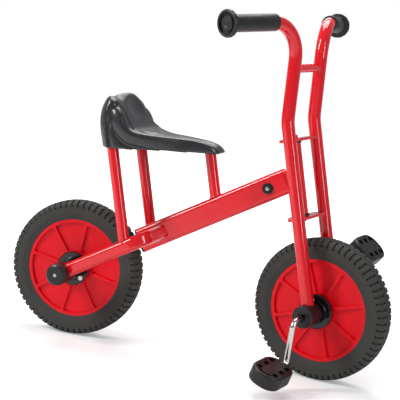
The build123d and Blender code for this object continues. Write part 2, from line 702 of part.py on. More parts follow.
def backrest_plan(inset):
    """Everything ahead of the backrest's rounded back, drawn in by an inset."""
    rounds = [
        Pos(BACKREST_CENTRE, 0, height) * Ellipse(half_length - inset, half_width - inset)
        for height, half_length, half_width in BACKREST_LEVELS
    ]
    widest = max(half_width for _, half_width, *_ in SADDLE_STATIONS)
    ahead = Pos(BACKREST_CENTRE + BEYOND / 2, 0, SADDLE_TOP) * Box(BEYOND, 2 * (widest + SADDLE_WALL), BEYOND / 5)
    return loft(rounds) + ahead


def saddle_block(inset):
    """The saddle's outside as a solid, or the hollow beneath it when drawn in by the wall."""
    stations = SADDLE_STATIONS[:-1] if inset else SADDLE_STATIONS
    block = loft([saddle_section(*station, inset) for station in stations])
    block &= backrest_side(inset)
    block &= backrest_plan(inset)
    bowl = scale(Sphere(BOWL_RADIUS + inset), BOWL_STRETCH)
    return block - Pos(BOWL_CENTRE) * bowl


def saddle():
    """Bucket saddle: a moulded shell, open beneath, with a socket for each post."""
    outside = saddle_block(0)
    shell = outside - saddle_block(SADDLE_WALL)
    for foot, left in post_places().values():
        shell += post_bar(foot, left, POST_DIAMETER + 2 * SOCKET_WALL) & outside
    for foot, left in post_places().values():
        shell -= post_bar(foot, left, POST_DIAMETER + 2 * SLIP_FIT) & below_rim(POST_IN_SADDLE + SLIP_FIT)
    return largest(shell)


# ---------------------------------------------------------------- the bicycle
def write_wheels():
    """Wheels, crank, pedals and the axles that turn."""
    for wheel, place, rib_angle in (
        ("front", FRONT_WHEEL_PLACE, FRONT_RIB_ANGLE),
        ("rear", REAR_WHEEL_PLACE, REAR_RIB_ANGLE),
    ):
        write(f"{wheel}_tyre", place * tyre())
        write(f"{wheel}_disc", place * wheel_disc(rib_angle))
        for name, side in SIDES.items():
            write(f"{wheel}_hub_flange_{name}", place * hub_flange(side))
    write("crank", FRONT_WHEEL_PLACE * crank())
    write("rear_axle", REAR_WHEEL_PLACE * rear_axle())
    for name, side in SIDES.items():
        write(f"pedal_{name}", FRONT_WHEEL_PLACE * pedal_place(name) * pedal(side))
        write(f"rear_spacer_{name}", REAR_WHEEL_PLACE * rear_spacer(side))


def write_fork():
    """Everything that steers apart from the front wheel."""
    for name, side in SIDES.items():
        write(f"fork_tube_{name}", STEER_PLACE * fork_tube(side))
        write(f"grip_{name}", STEER_PLACE * grip(side))
        write(f"front_housing_{name}", FRONT_WHEEL_PLACE * housing(side, FRONT_HOUSING_FACE, True))
    write("handlebar_crossbar", STEER_PLACE * crossbar())
    for name, height in PLATE_HEIGHTS.items():
        write(f"steering_plate_{name}", STEER_PLACE * steering_plate(height))
    write("steering_pin", STEER_PLACE * steering_pin())


def write_frame():
    """Beam, steering head, rear stays, posts and saddle."""
    write("main_beam", main_beam())
    write("beam_plug", beam_plug())
    write("head_stub", head_stub())
    write("head_tube", head_tube())
    write("head_bushing_upper", head_bushing(1))
    write("head_bushing_lower", head_bushing(-1))
    write("beam_bolt", stub_bolt())
    carriers = {"front": FRAME_PLACE * beam_solid(BEAM_START, BEAM_END - BEAM_START, 0)}
    for name, side in SIDES.items():
        stay = rear_stay(side)
        carriers[f"rear_{name}"] = stay
        write(f"rear_stay_{name}", stay)
        write(f"rear_housing_{name}", REAR_WHEEL_PLACE * housing(side, REAR_HOUSING_FACE, False))
        write(f"rear_axle_cap_{name}", REAR_WHEEL_PLACE * axle_cap(side))
        write(f"beam_bolt_cap_{name}", bolt_cap(side))
    for name, (foot, left) in post_places().items():
        write(f"seat_post_{name}", seat_post(foot, left, carriers[name]))
    write("saddle", saddle())


def main():
    """Write every piece."""
    os.makedirs("parts", exist_ok=True)
    write_wheels()
    write_fork()
    write_frame()


main()
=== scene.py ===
"""A child's bicycle: bright red beam frame, black rubber and plastic, and plated bent cranks.

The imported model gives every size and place.  This file dresses its pieces and adds what a
maker adds last: tyre treads, grip ends, the moulded saddle, weld beads, bolts and nuts.
"""
import json
import logging
import math
from collections.abc import Callable, Iterable, Sequence
from dataclasses import dataclass, field
from enum import Enum

import bpy
from mathutils import Matrix, Vector
from mathutils.kdtree import KDTree


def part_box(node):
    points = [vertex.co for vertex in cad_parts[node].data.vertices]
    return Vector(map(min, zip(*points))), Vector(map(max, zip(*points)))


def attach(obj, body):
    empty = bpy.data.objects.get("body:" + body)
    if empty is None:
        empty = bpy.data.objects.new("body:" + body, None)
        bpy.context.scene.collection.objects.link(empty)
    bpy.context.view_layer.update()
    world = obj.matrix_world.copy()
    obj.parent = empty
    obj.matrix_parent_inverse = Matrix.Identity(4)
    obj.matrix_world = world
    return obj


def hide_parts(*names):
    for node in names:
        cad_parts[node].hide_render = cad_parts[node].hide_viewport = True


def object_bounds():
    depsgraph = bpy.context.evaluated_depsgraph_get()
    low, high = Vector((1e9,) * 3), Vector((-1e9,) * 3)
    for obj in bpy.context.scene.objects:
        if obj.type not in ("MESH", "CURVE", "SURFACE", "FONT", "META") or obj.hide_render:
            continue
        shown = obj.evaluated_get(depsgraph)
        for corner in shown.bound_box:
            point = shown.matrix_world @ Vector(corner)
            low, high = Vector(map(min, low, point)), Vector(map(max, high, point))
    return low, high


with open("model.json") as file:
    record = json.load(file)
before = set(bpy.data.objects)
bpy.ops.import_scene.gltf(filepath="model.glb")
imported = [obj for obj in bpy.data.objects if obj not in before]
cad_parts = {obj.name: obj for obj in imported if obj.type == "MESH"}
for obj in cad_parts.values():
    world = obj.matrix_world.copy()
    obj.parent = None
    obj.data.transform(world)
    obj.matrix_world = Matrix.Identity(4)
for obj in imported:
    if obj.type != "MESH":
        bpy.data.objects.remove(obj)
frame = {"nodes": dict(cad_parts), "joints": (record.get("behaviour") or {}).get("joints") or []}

CAD_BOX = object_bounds()
LOG = logging.getLogger("bicycle")
MM = 0.001
TURN = 2 * math.pi
UP = Vector((0, 0, 1))
HALF_WAY = 0.5  # how far one smoothing pass moves a point towards its neighbours
SIDES = {"left": 1.0, "right": -1.0}
Profile = Sequence[tuple[float, float]]


def share(value: float) -> float:
    """Returns a value kept between 0 and 1."""
    return min(max(value, 0.0), 1.0)


def mound(away: float) -> float:
    """Returns the height of a smooth mound: 1 in its middle, 0 from a distance of 1 on."""
    return (1.0 - away * away) ** 2 if away < 1.0 else 0.0


# ---------------------------------------------------------------- finishes
MOTTLE_SIZE = 0.03  # metres between patches of colour
MOTTLE_DETAIL = 3.0
WEAR_SIZE = 0.012  # metres between glossier places
WEAR_DETAIL = 5.0
NOISE_LOW, NOISE_HIGH = 0.3, 0.7  # most of a noise lies between these
RELIEF_SHARE = 0.3  # height of a grain, as a share of its size
COAT_ROUGHNESS = 0.04
EVEN = (1.0, 1.0, 1.0)
DRAWN_OUT = (1.0, 0.05, 1.0)


def set_sockets(node: bpy.types.Node, values: dict[str, float | tuple[float, ...]]) -> None:
    """Sets inputs of a node by name."""
    for name, value in values.items():
        node.inputs[name].default_value = value


class Grain(Enum):
    """What the fine relief of a finish looks like."""

    ORANGE_PEEL = "orange_peel"
    MOULDED = "moulded"
    RUBBER = "rubber"
    DRAWN = "drawn"


@dataclass(frozen=True)
class Finish:
    """One surface finish and the numbers that make it.

    Args:
        name: the material's name.
        colour: base colour, linear.
        roughness: (smoothest, roughest) places of the surface.
        grain: kind of fine relief.
        grain_size: distance across one grain, in metres.
        grain_depth: strength of the relief.
        tone: how much the colour varies from place to place.
        shine: specular level of the surface.
        metal: how far the surface is a metal.
        coat: weight of the clear gloss over the colour.
    """

    name: str
    colour: tuple[float, float, float]
    roughness: tuple[float, float]
    grain: Grain
    grain_size: float
    grain_depth: float
    tone: float
    shine: float
    metal: float = 0.0
    coat: float = 0.0

    def material(self) -> bpy.types.Material:
        """Returns the finish's material, made the first time it is asked for."""
        made = bpy.data.materials.get(self.name)
        return made if made else self._make()

    def _make(self) -> bpy.types.Material:
        """Builds the node tree: mottled colour, uneven gloss and a fine relief.

        Returns:
            The new material.
        """
        material = bpy.data.materials.new(self.name)
        material.use_nodes = True
        nodes, links = material.node_tree.nodes, material.node_tree.links
        shader = nodes["Principled BSDF"]
        set_sockets(shader, {
            "Metallic": self.metal,
            "Coat Weight": self.coat,
            "Coat Roughness": COAT_ROUGHNESS,
            "Specular IOR Level": self.shine,
        })
        place = nodes.new("ShaderNodeTexCoord")

        mottle = self._noise(nodes, links, place, 1.0 / MOTTLE_SIZE, MOTTLE_DETAIL)
        shade = nodes.new("ShaderNodeValToRGB")
        darker = tuple(channel * (1.0 - self.tone) for channel in self.colour)
        lighter = tuple(min(channel * (1.0 + self.tone), 1.0) for channel in self.colour)
        ends = zip(shade.color_ramp.elements, (NOISE_LOW, NOISE_HIGH), (darker, lighter))
        for element, position, colour in ends:
            element.position = position
            element.color = (*colour, 1.0)
        links.new(mottle.outputs["Fac"], shade.inputs["Fac"])
        links.new(shade.outputs["Color"], shader.inputs["Base Color"])

        wear = self._noise(nodes, links, place, 1.0 / WEAR_SIZE, WEAR_DETAIL)
        gloss = nodes.new("ShaderNodeMapRange")
        smoothest, roughest = self.roughness
        set_sockets(gloss, {
            "From Min": NOISE_LOW,
            "From Max": NOISE_HIGH,
            "To Min": smoothest,
            "To Max": roughest,
        })
        links.new(wear.outputs["Fac"], gloss.inputs["Value"])
        links.new(gloss.outputs["Result"], shader.inputs["Roughness"])

        relief = nodes.new("ShaderNodeBump")
        set_sockets(relief, {
            "Strength": self.grain_depth,
            "Distance": self.grain_size * RELIEF_SHARE,
        })
        links.new(self._grain(nodes, links, place), relief.inputs["Height"])
        links.new(relief.outputs["Normal"], shader.inputs["Normal"])
        return material

    @staticmethod
    def _noise(
        nodes: bpy.types.Nodes,
        links: bpy.types.NodeLinks,
        place: bpy.types.Node,
        scale: float,
        detail: float,
        stretch: tuple[float, float, float] = EVEN,
    ) -> bpy.types.Node:
        """Adds a noise on object coordinates.

        Args:
            nodes: the tree's nodes.
            links: the tree's links.
            place: the texture coordinate node.
            scale: grains to the metre.
            detail: octaves.
            stretch: scale along each axis.

        Returns:
            The noise node.
        """
        mapping = nodes.new("ShaderNodeMapping")
        set_sockets(mapping, {"Scale": stretch})
        noise = nodes.new("ShaderNodeTexNoise")
        set_sockets(noise, {"Scale": scale, "Detail": detail})
        links.new(place.outputs["Object"], mapping.inputs["Vector"])
        links.new(mapping.outputs["Vector"], noise.inputs["Vector"])
        return noise

    def _grain(
        self, nodes: bpy.types.Nodes, links: bpy.types.NodeLinks, place: bpy.types.Node
    ) -> bpy.types.NodeSocket:
        """Adds the fine relief.

        Args:
            nodes: the tree's nodes.
            links: the tree's links.
            place: the texture coordinate node.

        Returns:
            The socket that holds the relief's height.
        """
        fineness = 1.0 / self.grain_size
        if self.grain is Grain.MOULDED:
            cells = nodes.new("ShaderNodeTexVoronoi")
            set_sockets(cells, {"Scale": fineness})
            links.new(place.outputs["Object"], cells.inputs["Vector"])
            return cells.outputs["Distance"]
        stretch = DRAWN_OUT if self.grain is Grain.DRAWN else EVEN
        detail = {Grain.ORANGE_PEEL: 1.0, Grain.RUBBER: 6.0, Grain.DRAWN: 4.0}[self.grain]
        return self._noise(nodes, links, place, fineness, detail, stretch).outputs["Fac"]


RED_PAINT = Finish(
    "red_powder_coat", (0.74, 0.001, 0.009), (0.10, 0.15), Grain.ORANGE_PEEL,
    grain_size=0.006, grain_depth=0.05, coat=0.55, tone=0.03, shine=0.40,
)
RED_PLASTIC = Finish(
    "red_moulding", (0.74, 0.001, 0.010), (0.34, 0.44), Grain.MOULDED,
    grain_size=0.0012, grain_depth=0.08, tone=0.05, shine=0.25,
)
TYRE_RUBBER = Finish(
    "tyre_rubber", (0.008, 0.0075, 0.007), (0.58, 0.74), Grain.RUBBER,
    grain_size=0.0014, grain_depth=0.20, tone=0.25, shine=0.16,
)
GRIP_RUBBER = Finish(
    "grip_rubber", (0.014, 0.014, 0.014), (0.36, 0.48), Grain.RUBBER,
    grain_size=0.0011, grain_depth=0.12, tone=0.15, shine=0.45,
)
PEDAL_RUBBER = Finish(
    "pedal_rubber", (0.010, 0.008, 0.008), (0.34, 0.50), Grain.RUBBER,
    grain_size=0.0016, grain_depth=0.20, tone=0.25, shine=0.40,
)
SADDLE_PLASTIC = Finish(
    "saddle_moulding", (0.010, 0.010, 0.012), (0.26, 0.33), Grain.MOULDED,
    grain_size=0.0011, grain_depth=0.03, tone=0.10, shine=0.80,
)
HUB_PLASTIC = Finish(
    "hub_moulding", (0.006, 0.006, 0.007), (0.12, 0.20), Grain.ORANGE_PEEL,
    grain_size=0.004, grain_depth=0.05, coat=0.2, tone=0.10, shine=0.40,
)
HOUSING_PLASTIC = Finish(
    "housing_moulding", (0.010, 0.009, 0.009), (0.28, 0.40), Grain.MOULDED,
    grain_size=0.0010, grain_depth=0.08, tone=0.15, shine=0.40,
)
CHROME = Finish(
    "bright_plate", (0.66, 0.65, 0.64), (0.06, 0.12), Grain.DRAWN,
    grain_size=0.002, grain_depth=0.03, metal=1.0, tone=0.03, shine=0.5,
)
ZINC = Finish(
    "zinc_plate", (0.55, 0.54, 0.52), (0.24, 0.38), Grain.DRAWN,
    grain_size=0.0012, grain_depth=0.08, metal=1.0, tone=0.08, shine=0.5,
)


# ---------------------------------------------------------------- shop tools
def clear_selection() -> None:
    """Leaves edit mode and deselects everything."""
    if bpy.context.mode != "OBJECT":
        bpy.ops.object.mode_set(mode="OBJECT")
    bpy.ops.object.select_all(action="DESELECT")


def take_up(piece: bpy.types.Object) -> None:
    """Makes a piece the only one selected, and active.

    Args:
        piece: the piece.
    """
    clear_selection()
    piece.select_set(True)
    bpy.context.view_layer.objects.active = piece


def named(name: str) -> bpy.types.Object:
    """Names the primitive that was just added.

    Args:
        name: its name.

    Returns:
        The primitive.
    """
    piece = bpy.context.active_object
    piece.name = name
    piece.data.name = name
    return piece


def modify(piece: bpy.types.Object, kind: str, **settings) -> None:
    """Adds a modifier with its settings and applies it.

    Args:
        piece: the piece to change.
        kind: the modifier's type.
        **settings: its settings by name.
    """
    take_up(piece)
    modifier = piece.modifiers.new(kind.lower(), kind)
    for name, value in settings.items():
        setattr(modifier, name, value)
    bpy.ops.object.modifier_apply(modifier=modifier.name)


def pick_faces(
    piece: bpy.types.Object, wanted: Callable[[bpy.types.MeshPolygon], bool]
) -> None:
    """Selects the faces that a test accepts and enters edit mode.

    Args:
        piece: the piece whose faces are picked.
        wanted: the test of one face.
    """
    take_up(piece)
    bpy.ops.object.mode_set(mode="EDIT")
    bpy.context.tool_settings.mesh_select_mode = (False, False, True)
    bpy.ops.mesh.select_all(action="DESELECT")
    bpy.ops.object.mode_set(mode="OBJECT")
    for face in piece.data.polygons:
        face.select = bool(wanted(face))
    bpy.ops.object.mode_set(mode="EDIT")


def press(depth: float, even: bool = False) -> None:
    """Presses the picked faces in, or out where the depth is negative, and leaves edit mode.

    Args:
        depth: how far in they go.
        even: whether slanted faces go as deep as flat ones.
    """
    bpy.ops.mesh.extrude_region_shrink_fatten(
        TRANSFORM_OT_shrink_fatten={"value": -depth, "use_even_offset": even}
    )
    clear_selection()


def tidy_shell(piece: bpy.types.Object, distance: float = 1e-6) -> None:
    """Merges doubled points and turns all faces outward.

    Args:
        piece: the piece to tidy.
        distance: how near two points are to be merged.
    """
    take_up(piece)
    bpy.ops.object.mode_set(mode="EDIT")
    bpy.ops.mesh.select_all(action="SELECT")
    bpy.ops.mesh.remove_doubles(threshold=distance)
    bpy.ops.mesh.normals_make_consistent(inside=False)
    bpy.ops.object.mode_set(mode="OBJECT")


def turned(name: str, profile: Profile, steps: int) -> bpy.types.Object:
    """Turns a closed profile all the way round the Y axis.

    Args:
        name: the new piece's name.
        profile: (radius, place along Y) points in metres, all round the section.
        steps: how many steps the turn takes.

    Returns:
        The turned piece.
    """
    clear_selection()
    bpy.ops.mesh.primitive_plane_add(size=MM, location=(0, 0, 0))
    piece = named(name)
    bpy.ops.object.mode_set(mode="EDIT")
    bpy.context.tool_settings.mesh_select_mode = (True, False, False)
    bpy.ops.mesh.merge(type="CENTER")
    bpy.ops.transform.translate(value=(profile[0][0], profile[0][1], 0))
    for (radius, along), (next_radius, next_along) in zip(profile, profile[1:]):
        bpy.ops.mesh.extrude_region_move(
            TRANSFORM_OT_translate={"value": (next_radius - radius, next_along - along, 0)}
        )
    bpy.ops.mesh.select_all(action="SELECT")
    bpy.ops.mesh.remove_doubles(threshold=1e-7)
    bpy.ops.mesh.spin(steps=steps, angle=TURN, center=(0, 0, 0), axis=(0, 1, 0))
    bpy.ops.object.mode_set(mode="OBJECT")
    tidy_shell(piece)
    return piece


def move_points(
    piece: bpy.types.Object, shift: Callable[[bpy.types.MeshVertex], Vector]
) -> None:
    """Moves every point of a piece by what a function gives for it, all at once.

    Args:
        piece: the piece to shape.
        shift: the move of one point.
    """
    moved = [point.co + shift(point) for point in piece.data.vertices]
    for point, spot in zip(piece.data.vertices, moved):
        point.co = spot
    piece.data.update()


def smooth(piece: bpy.types.Object, degrees: float) -> None:
    """Shades a piece smooth, with creases sharper than an angle kept."""
    take_up(piece)
    bpy.ops.object.shade_smooth_by_angle(angle=math.radians(degrees))


def settle(piece: bpy.types.Object, place: Matrix) -> None:
    """Moves a piece to its place and applies that to its mesh.

    Args:
        piece: the piece to move.
        place: its place.
    """
    take_up(piece)
    piece.matrix_world = place
    bpy.ops.object.transform_apply(location=True, rotation=True, scale=True)


def copied(piece: bpy.types.Object, name: str) -> bpy.types.Object:
    """Copies a piece and its mesh.

    Args:
        piece: the piece to copy.
        name: the copy's name.

    Returns:
        The copy.
    """
    twin = bpy.data.objects.new(name, piece.data.copy())
    twin.data.name = name
    bpy.context.scene.collection.objects.link(twin)
    return twin


def dress(piece: bpy.types.Object, finish: Finish) -> None:
    """Gives a piece one finish all over."""
    piece.data.materials.clear()
    piece.data.materials.append(finish.material())


def fit(piece: bpy.types.Object, body: str, finish: Finish) -> None:
    """Finishes a new piece and mounts it on its body.

    Args:
        piece: the new piece.
        body: the body that it rides on.
        finish: what it is made of.
    """
    dress(piece, finish)
    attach(piece, body)
    LOG.info("%s on %s", piece.name, body)


def basis(origin: Vector, along_y: Vector, up: Vector) -> Matrix:
    """Makes a place whose Y axis runs along one direction and whose Z axis is near another.

    Args:
        origin: the place's origin.
        along_y: the way its Y axis runs.
        up: the way that its Z axis is near.

    Returns:
        The place.
    """
    y_axis = along_y.normalized()
    x_axis = y_axis.cross(up).normalized()
    z_axis = x_axis.cross(y_axis)
    place = Matrix((x_axis, y_axis, z_axis)).transposed().to_4x4()
    place.translation = origin
    return place


def joint(name: str) -> tuple[Vector, Vector]:
    """Returns the place and direction of a joint's axis."""
    found = next(item for item in frame["joints"] if item["name"] == name)
    return Vector(found["pos_m"]), Vector(found["axis"]).normalized()


def middle(node: str) -> Vector:
    """Returns the middle of a node's box."""
    low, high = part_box(node)
    return (Vector(low) + Vector(high)) / 2


def dress_nodes(finishes: dict[str, Finish]) -> None:
    """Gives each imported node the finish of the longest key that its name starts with.

    Args:
        finishes: the finish for each start of a name.
    """
    for name, node in frame["nodes"].items():
        finish = finishes[max((start for start in finishes if name.startswith(start)), key=len)]
        dress(node, finish)
        LOG.info("%s in %s", name, finish.name)


# ---------------------------------------------------------------- wheels
@dataclass
class Tyre:
    """Solid tyre with blocks along both shoulders and fine grooves round the crown.

    Args:
        wheel: "front" or "rear".
        body: the body that it turns with.
        spin: the wheel's joint.
        pitches: how many blocks each shoulder has.
        steps: turning steps to a block and its slot; the slot takes the first.
        slot_depth: how deep the slots are.
        slot_inner: where the slots start, across from the middle of the crown.
        slot_wall: radius at which they end on the side wall.
        crown: the tyre's radius.
        crease: angle in degrees from which an edge stays sharp.
        rib: half the width of the rib round the middle, in millimetres.
        grooves: (place across, half width, depth) of each groove, in millimetres.
        shoulder: (down from the crown, across) over the blocks, in millimetres.
        side_wall: the same down the side.
        bead: the same at the foot.
    """

    wheel: str
    body: str
    spin: str
    pitches: int = 64
    steps: int = 3
    slot_depth: float = 3.4 * MM
    slot_inner: float = 9.0 * MM
    slot_wall: float = 141.0 * MM
    crown: float = 156.0 * MM
    crease: float = 28.0
    rib: float = 0.6
    grooves: tuple[tuple[float, float, float], ...] = (
        (1.6, 0.5, 1.2), (4.2, 0.5, 1.2), (7.4, 0.9, 2.2),
    )
    shoulder: Profile = (
        (0.1, 9.4), (0.4, 14.5), (1.5, 19.5), (3.4, 22.6), (6.0, 25.6), (8.6, 27.6),
    )
    side_wall: Profile = ((14.6, 27.9), (15.6, 27.3), (22.0, 27.2), (28.0, 26.6), (33.0, 25.9))
    bead: Profile = ((34.0, 25.3), (38.0, 24.2), (41.0, 23.6), (43.4, 22.0))

    def half_profile(self) -> list[tuple[float, float]]:
        """Draws half the section.

        Returns:
            (radius, across) points in metres, from the middle of the crown to the bead.
        """
        points = [(0.0, self.rib)]
        for groove, half_width, depth in self.grooves:
            points += [
                (0.0, groove - half_width),
                (depth, groove - half_width / 2),
                (depth, groove + half_width / 2),
                (0.0, groove + half_width),
            ]
        points += [*self.shoulder, *self.side_wall, *self.bead]
        return [(self.crown - down * MM, out * MM) for down, out in points]

    def in_slot(self, face: bpy.types.MeshPolygon, shoulder: float) -> bool:
        """Tells whether a face is to be pressed in, on one shoulder.

        Args:
            face: the face.
            shoulder: 1 or -1, for the shoulder.

        Returns:
            Whether it lies in a slot.
        """
        centre = face.center
        turn = math.atan2(centre.z, centre.x) / TURN % 1.0 * self.pitches * self.steps
        across = centre.y * shoulder
        low_enough = math.hypot(centre.x, centre.z) > self.slot_wall
        return int(turn) % self.steps == 0 and across > self.slot_inner and low_enough

    def build(self) -> None:
        """Models the tyre all the way round and mounts it in place of the plain one."""
        place, axle = joint(self.spin)
        half = self.half_profile()
        section = half + [(radius, -along) for radius, along in reversed(half)]
        steps = self.pitches * self.steps
        tyre = turned(f"{self.wheel}_tyre_treaded", [*section, section[0]], steps)
        for shoulder in SIDES.values():
            pick_faces(tyre, lambda face, side=shoulder: self.in_slot(face, side))
            press(self.slot_depth, even=True)
        smooth(tyre, self.crease)
        settle(tyre, basis(place, axle, UP))
        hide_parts(f"{self.wheel}_tyre")
        fit(tyre, self.body, TYRE_RUBBER)


# ---------------------------------------------------------------- saddle
@dataclass
class Saddle:
    """The moulded bucket saddle: rounded edges, beaded wings and a valley behind the bead.

    Args:
        doubled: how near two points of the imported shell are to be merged.
        cell: size of the cells that the shell is rebuilt from.
        evening: smoothing passes that take away the cells' steps.
        rounding: passes that round its edges.
        settling: passes that even out the bead.
        finishing: passes that soften the valley.
        rim_kept: height above the lower rim over which rounding grows.
        rim_start: share of that height at which rounding starts.
        seat_share: how far the seat is rounded, beside the hood.
        seat_level: height of the seat.
        hood_rise: height above the seat at which the hood is fully rounded.
        bead_bend: cosine between neighbouring normals under which the outside counts as an edge.
        bead_foot: how far the bead keeps from the rim and from the valley.
        bead_width: reach of the bead from the wings' front edges.
        bead_height: how far it stands out.
        crease_at: distance of the crease beside the bead.
        crease_width: half its width.
        crease_depth: its depth.
        bead_fade: where the bead starts to fade, and where it is gone.
        valley_at: how far back the valley runs.
        valley_flare: how far forward it bends at the rim.
        flare_height: height above the rim at which it runs straight.
        valley_width: half its width.
        valley_depth: its depth.
        valley_top: heights between which it fades out, below the crest.
        valley_facing: how far forward or back a place may face and still be pressed.
        heart: how far under the seat the line runs that the outside faces away from.
    """

    doubled: float = 1e-5
    cell: float = 2.4 * MM
    evening: int = 5
    rounding: int = 40
    settling: int = 14
    finishing: int = 3
    rim_kept: float = 10.0 * MM
    rim_start: float = 0.5
    seat_share: float = 0.22
    seat_level: float = 0.0
    hood_rise: float = 25.0 * MM
    bead_bend: float = 0.965
    bead_foot: float = 12.0 * MM
    bead_width: float = 17.0 * MM
    bead_height: float = 3.6 * MM
    crease_at: float = 25.0 * MM
    crease_width: float = 9.0 * MM
    crease_depth: float = 3.4 * MM
    bead_fade: tuple[float, float] = (-70.0 * MM, 10.0 * MM)
    valley_at: float = -141.0 * MM
    valley_flare: float = 12.0 * MM
    flare_height: float = 50.0 * MM
    valley_width: float = 7.0 * MM
    valley_depth: float = 4.0 * MM
    valley_top: tuple[float, float] = (30.0 * MM, 60.0 * MM)
    valley_facing: float = 0.7
    heart: float = 20.0 * MM

    def valley_line(self, above: float) -> float:
        """Returns how far forward the valley runs at a height above the rim."""
        low = max(0.0, 1.0 - above / self.flare_height)
        return self.valley_at + self.valley_flare * low * low

    def softness(self, height: float, rim: float) -> float:
        """Tells how far a place is rounded: none at the rim, little on the seat, all on the hood.

        Args:
            height: height of the place.
            rim: height of the lower rim.

        Returns:
            Its share of the rounding, 0 to 1.
        """
        from_rim = share((height - rim) / self.rim_kept - self.rim_start)
        on_hood = share((height - self.seat_level) / self.hood_rise)
        return from_rim * (self.seat_share + (1.0 - self.seat_share) * on_hood)

    def round_edges(self, shell: bpy.types.Object, rim: float) -> None:
        """Rounds the shell's edges, most on the hood and least at the rim.

        Args:
            shell: the shell.
            rim: height of its lower rim.
        """
        above = shell.vertex_groups.new(name="above_rim")
        for point in shell.data.vertices:
            above.add([point.index], self.softness(point.co.z, rim), "REPLACE")
        self.ease(shell, self.rounding, above.name)

    @staticmethod
    def ease(shell: bpy.types.Object, passes: int, where: str = "") -> None:
        """Smooths the shell, all over or as far as a group of its points says.

        Args:
            shell: the shell.
            passes: how many smoothing passes it gets.
            where: the group's name, or none for all over.
        """
        modify(shell, "SMOOTH", factor=HALF_WAY, iterations=passes, vertex_group=where)

    def edge_points(self, shell: bpy.types.Object, rim: float) -> set[int]:
        """Finds the points along the wings' front edges, where the outside bends sharply.

        Args:
            shell: the shell.
            rim: height of its lower rim.

        Returns:
            The points' numbers.
        """
        mesh, found = shell.data, set()
        for edge in mesh.edges:
            first, second = (mesh.vertices[index] for index in edge.vertices)
            bends = first.normal.dot(second.normal) < self.bead_bend
            opens = (second.normal - first.normal).dot(second.co - first.co) > 0
            ahead = first.co.x > self.valley_at + self.bead_foot
            if bends and opens and ahead and first.co.z > rim + self.bead_foot:
                found.update(edge.vertices)
        return found

    def bead_form(self, apart: float) -> float:
        """Tells how far the outside stands out near an edge: first a bead, then a crease.

        Args:
            apart: distance from the edge.

        Returns:
            How far it stands out, in metres.
        """
        rise = self.bead_height * mound(apart / self.bead_width)
        fall = self.crease_depth * mound(abs(apart - self.crease_at) / self.crease_width)
        return rise - fall

    def swell_bead(self, shell: bpy.types.Object, along: set[int]) -> None:
        """Swells the outside of the shell into a bead along the wings' front edges.

        Args:
            shell: the shell.
            along: numbers of the points along those edges.
        """
        points = shell.data.vertices
        edges = KDTree(len(along))
        for index in along:
            edges.insert(points[index].co, index)
        edges.balance()
        full, gone = self.bead_fade

        def swell(point: bpy.types.MeshVertex) -> Vector:
            """Returns a point's part of the bead."""
            here = share((gone - point.co.x) / (gone - full))
            return point.normal * here * self.bead_form(edges.find(point.co)[2])

        move_points(shell, swell)

    def press_valley(self, point: bpy.types.MeshVertex, rim: float) -> Vector:
        """Tells how a point moves into the valley, outside the shell and behind the bead.

        Args:
            point: the point.
            rim: height of the shell's lower rim.

        Returns:
            The point's move.
        """
        spot, normal = point.co, point.normal
        aside = abs(spot.x - self.valley_line(spot.z - rim)) / self.valley_width
        outside = normal.dot(Vector((0, spot.y, spot.z + self.heart))) > 0
        if not outside or abs(normal.x) >= self.valley_facing:
            return Vector()
        low, high = self.valley_top
        fade = share((high - spot.z) / (high - low))
        return normal * -self.valley_depth * fade * mound(aside)

    def build(self) -> None:
        """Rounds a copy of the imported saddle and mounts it."""
        shell = copied(frame["nodes"]["saddle"], "saddle_shell")
        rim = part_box("saddle")[0][2]
        tidy_shell(shell, self.doubled)
        modify(shell, "REMESH", mode="VOXEL", voxel_size=self.cell)
        self.ease(shell, self.evening)
        along = self.edge_points(shell, rim)
        self.round_edges(shell, rim)
        self.swell_bead(shell, along)
        self.ease(shell, self.settling, "above_rim")
        move_points(shell, lambda point: self.press_valley(point, rim))
        self.ease(shell, self.finishing)
        take_up(shell)
        bpy.ops.object.shade_smooth()
        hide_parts("saddle")
        fit(shell, "frame", SADDLE_PLASTIC)


